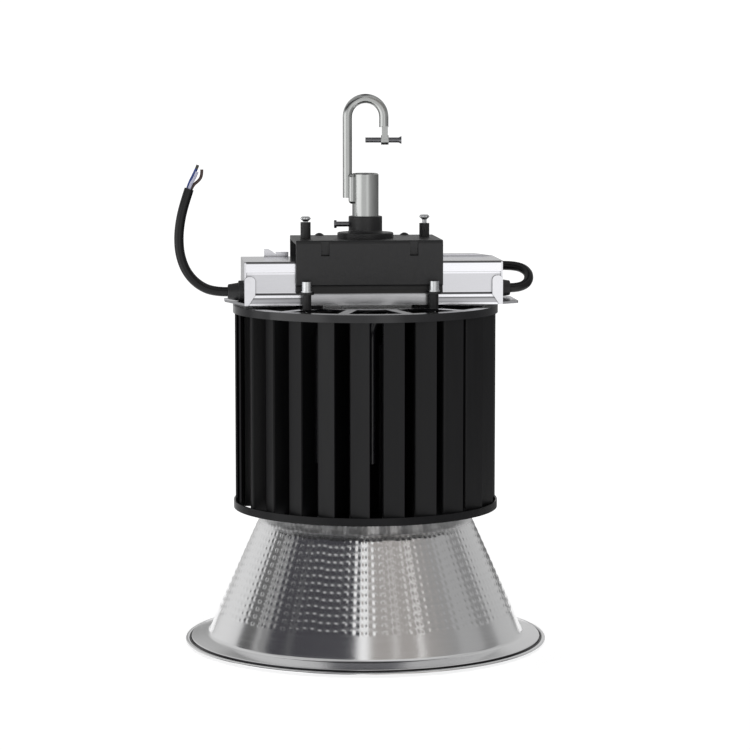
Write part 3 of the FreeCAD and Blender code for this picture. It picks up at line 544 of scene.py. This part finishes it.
tint(case_finish, painted_bracket_shadow, (0.44, 0.44, 0.45))
dress(["driver_case"], case_finish)
# The end plates get painted shade in their narrow corners and gaps too.
end_finish = finish("end_plate_aluminium", (0.80, 0.80, 0.83), 1.0, 0.20, (150, 150, 150),
                    swing=0.05, shade=0.08, seam=0.004)
dress(["driver_end_left", "driver_end_right"], end_finish)
gland_finish = finish("gland_plastic", (0.016, 0.016, 0.017), 0.0, 0.45, (400, 400, 400),
                      swing=0.08, relief=0.0001)
dress(["gland_left", "gland_right"], gland_finish)

# Bracket over the driver: a cover folded from steel sheet and painted black, screwed down on four posts.
# It carries the collar for the stem and two clamp screws, each in a plastic sleeve.
paint_finish = finish("bracket_paint", (0.012, 0.012, 0.013), 0.0, 0.40, (450, 450, 450),
                      swing=0.06, shade=0.15, relief=0.00012)
dress(["standoffs", "collar", "box_screws"], paint_finish)
# The cover gets painted shade in its narrow corners and gaps.
box_finish = finish("bracket_cover_paint", (0.013, 0.013, 0.014), 0.0, 0.40, (450, 450, 450),
                    swing=0.06, shade=0.15, relief=0.00012, seam=0.004)
# Painted shade: the cover's lowest 3.4 mm, its lip, is darkened to under half, rising to full at 4.2 mm.
box_low, box_high = (corner[2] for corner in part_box("gear_box"))
painted_light_bands(box_finish, box_low, box_high, [(3.4, 0.45), (4.2, 1.0)])
dress(["gear_box"], box_finish)


def knurl(material, scale, height):
    """Ridges side by side along X: a sine wave lifts the surface by up to height metres, and the larger the
    scale, the shorter it is."""
    nodes, links = material.node_tree.nodes, material.node_tree.links
    place = nodes.new("ShaderNodeTexCoord")
    ridges = nodes.new("ShaderNodeTexWave")
    ridges.bands_direction = "X"
    ridges.inputs["Scale"].default_value = scale
    lift = nodes.new("ShaderNodeBump")
    lift.inputs["Distance"].default_value = height
    links.new(place.outputs["Object"], ridges.inputs["Vector"])
    links.new(ridges.outputs["Fac"], lift.inputs["Height"])
    links.new(lift.outputs["Normal"], nodes["Principled BSDF"].inputs["Normal"])


# The clamp screws have knurled heads.
knurled_finish = finish("knurled_zinc", (0.72, 0.73, 0.74), 1.0, 0.22, (500, 500, 500),
                        swing=0.06, shade=0.2)
knurl(knurled_finish, scale=170, height=0.0005)
dress(["clamp_screws"], knurled_finish)
sleeve_finish = finish("sleeve_plastic", (0.016, 0.016, 0.017), 0.0, 0.5, (400, 400, 400), swing=0.08)
dress(["clamp_sleeves"], sleeve_finish)

# Stem and hook: zinc plated steel pipe, held in the collar by a dark set screw, with the bent bar of the
# hook welded to its side. A dark bolt closes the hook's mouth.
stem_finish = finish("stem_zinc", (0.50, 0.51, 0.50), 1.0, 0.20, (250, 250, 40), swing=0.05, shade=0.12)
dress(["stem"], stem_finish)
hook_finish = finish("hook_zinc", (0.50, 0.51, 0.50), 1.0, 0.22, (250, 250, 60), swing=0.05, shade=0.12)
dress(["hook"], hook_finish)
dark_finish = finish("dark_steel", (0.20, 0.20, 0.21), 1.0, 0.30, (500, 500, 500), swing=0.08, shade=0.3)
dress(["set_screw", "safety_bolt"], dark_finish)

# Floor: a round white table top that the light stands on. It glows evenly, so that it is as white in the
# picture as the backdrop.
floor_r = 0.6
floor_sides = 96
floor_turn = np.arange(floor_sides) * 2 * np.pi / floor_sides
floor_edge = np.stack([floor_r * np.cos(floor_turn), floor_r * np.sin(floor_turn), 0 * floor_turn], -1)
floor_mesh = bpy.data.meshes.new("floor")
floor_mesh.from_pydata(floor_edge, [], [list(range(floor_sides))])
floor = bpy.data.objects.new("floor", floor_mesh)
bpy.context.scene.collection.objects.link(floor)
floor_finish = finish("floor", (0.6, 0.6, 0.6), 0.0, 0.9, (10, 10, 10), shade=0.01)
steady(floor_finish, "Emission Color", (1, 1, 1, 1))
steady(floor_finish, "Emission Strength", 0.78)
steady(floor_finish, "Specular IOR Level", 0.0)
floor_mesh.materials.append(floor_finish)

# Studio: the room's soft light, given by direction. Each list holds angles in degrees, from the front
# towards the right, and the light or height there. The ceiling is dark, and the camera sees white behind
# the light.
bpy.context.scene.view_settings.view_transform = "Standard"
beige = (0.357, 0.338, 0.323)
black = (0.048, 0.047, 0.055)
ceiling = (0.14, 0.14, 0.15, 1)
backdrop = (1.1, 1.1, 1.1, 1)
# Flags stand round the light: black ones on the left with narrow gaps, a white gap in front, and warm grey
# ones on the right with two thin bright gaps. Behind, the walls are a soft grey. Angles past 180 go on
# round to the left.
walls = [
    (-110.6, black), (-108, 0.10), (-96, 0.10), (-94, 0.42), (-92, 0.42), (-90, 0.07), (-86.5, 0.30),
    (-85, 0.30), (-82, black), (-66, black), (-64, 0.16), (-61, black), (-7.5, black), (-6.5, 1.0),
    (2.5, 1.0), (3.5, beige), (25, beige), (25.8, 2.4), (26.6, beige), (45.4, beige), (46.2, 2.4),
    (47, beige), (78, 0.29), (80, 0.38), (101, 0.36), (103, 0.24), (116, 0.24), (118, 0.45), (178, 0.60),
    (186, 0.34), (202, 0.645), (248, 0.645),
]
# Below the flags it is brightest on the left and darker on the right, and still darker there and behind
# under the horizon.
low = [
    (-176.5, 0.60), (-174.5, 0.34), (-165, 0.34), (-155, 0.70), (-110, 0.75), (-90, 1.3), (-80, 1.6),
    (-40, 1.5), (-30, 0.90), (0, 0.85), (7, 0.92), (13, 1.15), (22, 1.15), (35, 0.60), (60, 0.45),
    (100, 0.45), (140, 0.50), (180, 0.62),
]
ground = [
    (-174, 0.30), (-165, 0.65), (-150, 0.40), (-120, 0.25), (-106, 0.70), (-90, 1.3), (-80, 1.6),
    (-40, 1.5), (-30, 0.90), (0, 0.85), (7, 0.92), (13, 1.15), (22, 1.15), (35, 0.60), (60, 0.42),
    (85, 0.30), (100, 0.20), (140, 0.15), (180, 0.18),
]
# The flags' top edges, as degrees above the horizon, and the soft grey above them, which is dark behind.
flag_heights = [
    (-165, 25), (-140, 24), (-110, 25), (-67, 36), (0, 43), (40, 45), (79, 40), (116, 34), (165, 26),
]
flag_tops = [(degrees, math.sin(math.radians(up))) for degrees, up in flag_heights]
high = [
    (-170, 0.10), (-165, 0.40), (-140, 0.62), (-112, 0.60), (-100, 0.45), (-8, 0.50), (-4, 0.70),
    (60, 0.65), (116, 0.45), (165, 0.55), (170, 0.10),
]
# Where one light turns into the next, as degrees above the horizon or above the flags' top edges.
ground_end = (-1.0, 1.5)
low_end = (8, 17)
flag_end = (0, 3)
wall_end = (72, 79)
world = bpy.data.worlds.new("studio")
bpy.context.scene.world = world
world.use_nodes = True
nodes, links = world.node_tree.nodes, world.node_tree.links
nodes.clear()
way = nodes.new("ShaderNodeTexCoord")
round_about = nodes.new("ShaderNodeTexGradient")
round_about.gradient_type = "RADIAL"
links.new(way.outputs["Generated"], round_about.inputs["Vector"])


def band(levels):
    """Light by the angle from the front towards the right. The gradient goes from nought to one round the
    room and is a quarter at the front, and between two levels the light changes evenly."""
    front = 0.25
    ramp = nodes.new("ShaderNodeValToRGB")
    stops = sorted(levels, key=lambda stop: (front + stop[0] / 360) % 1)
    elements = ramp.color_ramp.elements
    while len(elements) < len(stops):
        elements.new(0.5)
    for element, (degrees, level) in zip(elements, stops):
        element.position = (front + degrees / 360) % 1
        element.color = (*level, 1) if isinstance(level, tuple) else (level, level, level, 1)
    links.new(round_about.outputs["Fac"], ramp.inputs["Fac"])
    return ramp.outputs["Color"]


height = nodes.new("ShaderNodeSeparateXYZ")
links.new(way.outputs["Generated"], height.inputs["Vector"])


def above(start, end, edge=None):
    """Share that grows smoothly from none to all between two heights above the horizon, in degrees, which
    are compared by their sines. An edge, given as sines, is taken away from the height first."""
    share = nodes.new("ShaderNodeMapRange")
    share.interpolation_type = "SMOOTHSTEP"
    share.inputs["From Min"].default_value = math.sin(math.radians(start))
    share.inputs["From Max"].default_value = math.sin(math.radians(end))
    links.new(height.outputs["Z"], share.inputs["Value"])
    if edge is not None:
        over = nodes.new("ShaderNodeMath")
        over.operation = "SUBTRACT"
        links.new(height.outputs["Z"], over.inputs[0])
        links.new(edge, over.inputs[1])
        links.new(over.outputs["Value"], share.inputs["Value"])
    return share.outputs["Result"]


def blend(share, first, second):
    """Mix of two lights: the share of the second, and the rest of the first."""
    mix = nodes.new("ShaderNodeMix")
    mix.data_type = "RGBA"
    links.new(share, mix.inputs["Factor"])
    for light, side in ((first, "A"), (second, "B")):
        socket = [s for s in mix.inputs if s.name == side and s.type == "RGBA"][0]
        if isinstance(light, tuple):
            socket.default_value = light
        else:
            links.new(light, socket)
    return [s for s in mix.outputs if s.type == "RGBA"][0]


room = blend(above(*ground_end), band(ground), band(low))
room = blend(above(*low_end), room, band(walls))
room = blend(above(*flag_end, edge=band(flag_tops)), room, band(high))
room = blend(above(*wall_end), room, ceiling)
seen = nodes.new("ShaderNodeLightPath")
room = blend(seen.outputs["Is Camera Ray"], room, backdrop)
background = nodes.new("ShaderNodeBackground")
links.new(room, background.inputs["Color"])
output = nodes.new("ShaderNodeOutputWorld")
links.new(background.outputs["Background"], output.inputs["Surface"])
